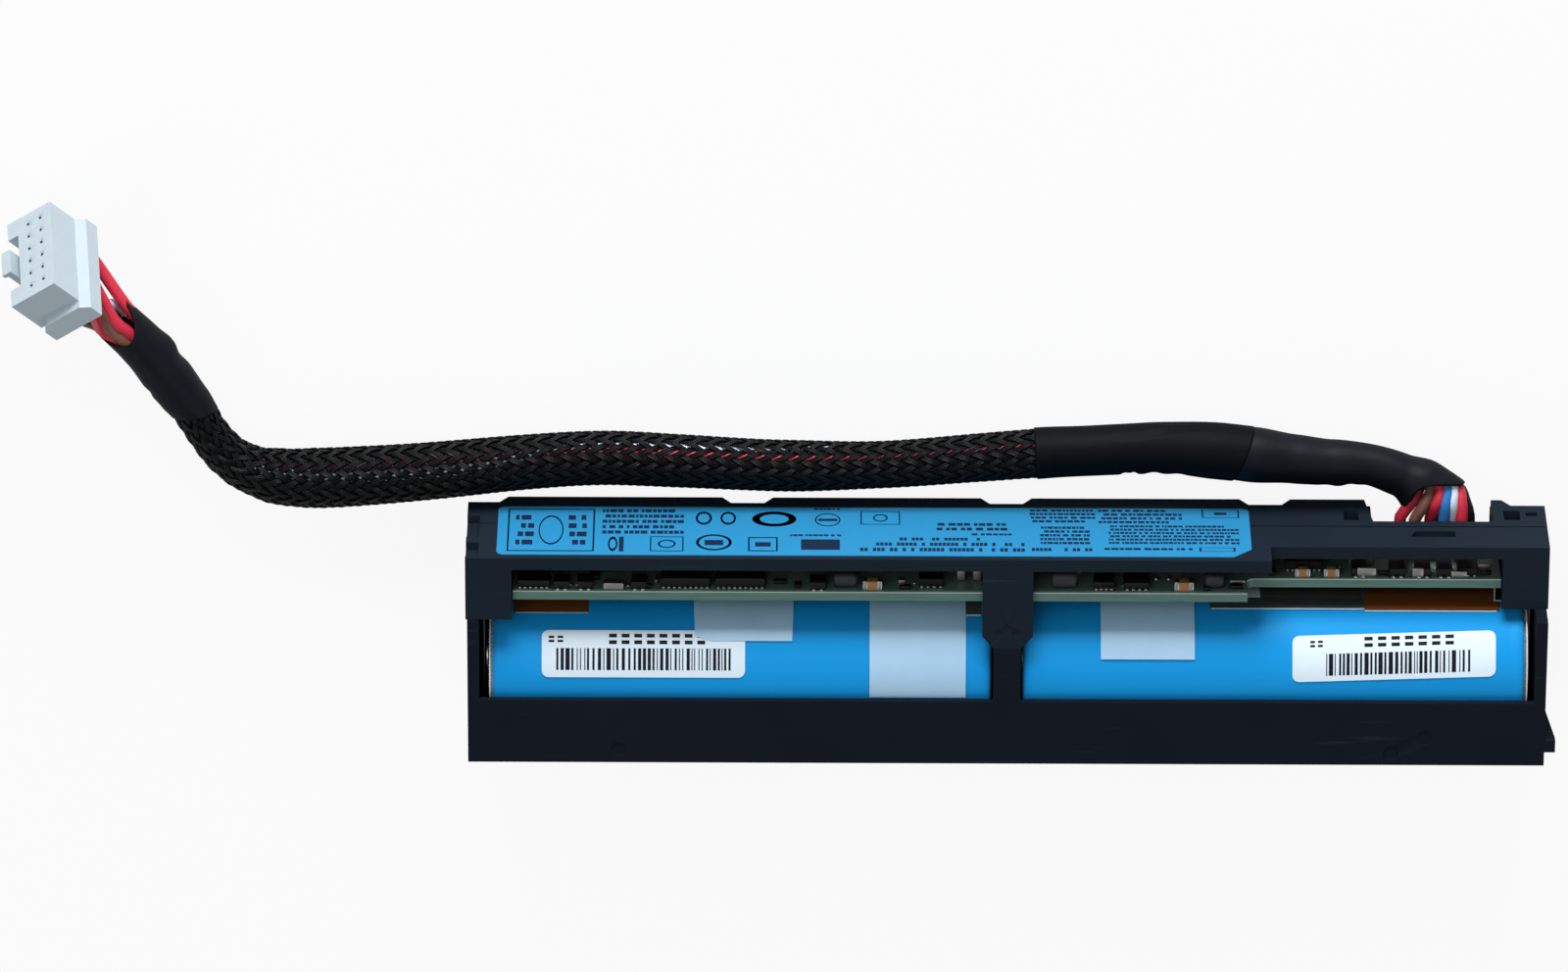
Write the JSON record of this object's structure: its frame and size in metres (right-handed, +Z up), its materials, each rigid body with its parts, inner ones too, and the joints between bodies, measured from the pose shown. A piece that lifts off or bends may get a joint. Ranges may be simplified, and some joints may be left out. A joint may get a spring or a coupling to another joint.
{
  "type": "raid battery module",
  "caption": "Backup battery module for a storage controller: cylindrical cells and a charger board in an open moulded housing, with a sleeved lead and a plug.",
  "frame": {"origin": "middle of the back wall's resting face", "axes": "+X along the housing towards the end away from the lead's exit, +Y from the label wall towards the far wall, +Z up through the open window"},
  "size_m": [0.1999, 0.072, 0.0204],
  "materials": {
    "tray_plastic": "fine grained black moulding",
    "cover_plastic": "fine grained slate black moulding",
    "can_steel": "nickel plated",
    "cell_wrap_film": "satin blue shrink film",
    "ring_paper": "white fibre paper",
    "nickel": "nickel strip",
    "sense_metal": "dull metal strip",
    "board_laminate": "green board lacquer with paler cut edges",
    "package_black": "moulded packages with tinned leads",
    "ferrite": "dark ferrite",
    "capacitor_tan": "ceramic with tinned ends",
    "capacitor_metal": "tinned metal",
    "solder": "bright solder",
    "amber_film": "amber film",
    "dark_foam": "dark pad",
    "clear_tape": "pale see-through tape",
    "cell_label_paper": null,
    "rating_label_film": null,
    "wire_red": "red insulation",
    "wire_brown": "brown insulation",
    "wire_blue": "blue insulation",
    "wire_white": "white insulation",
    "wire_black": "black insulation",
    "shrink_tube": "black shrink tube",
    "wrap_tape": "black tape",
    "braid": "black expandable braid",
    "plug_nylon": "milky white nylon",
    "contact_metal": "plated contacts"
  },
  "bodies": {
    "root": {"cell_tray": "tray_plastic", "board_cover": "cover_plastic", "cell_can_right": "can_steel", "cell_can_left": "can_steel", "cell_wrap_right": "cell_wrap_film", "cell_wrap_left": "cell_wrap_film", "end_rings": "ring_paper", "end_strip_right": "nickel", "end_strip_left": "nickel", "series_strip": "nickel", "sense_strip": "sense_metal", "circuit_board": "board_laminate", "power_packages": "package_black", "control_chips": "package_black", "transistors": "package_black", "inductors": "ferrite", "ceramic_capacitors": "capacitor_tan", "tantalum_capacitors": "capacitor_metal", "crystal_cans": "capacitor_metal", "solder_joints": "solder", "amber_strip_right": "amber_film", "amber_strip_left": "amber_film", "dark_pad": "dark_foam", "paper_insulator": "ring_paper", "tape_right": "clear_tape", "tape_middle": "clear_tape", "tape_left": "clear_tape", "cell_label_right": "cell_label_paper", "cell_label_left": "cell_label_paper", "rating_label": "rating_label_film", "red_wires": "wire_red", "brown_wire": "wire_brown", "blue_wire": "wire_blue", "white_wire": "wire_white", "black_wires": "wire_black", "shrink_sleeve": "shrink_tube", "tape_wrap": "wrap_tape", "braided_sleeve": "braid", "plug_sleeve": "shrink_tube", "plug_housing": "plug_nylon", "plug_contacts": "contact_metal"}
  },
  "joints": []
}
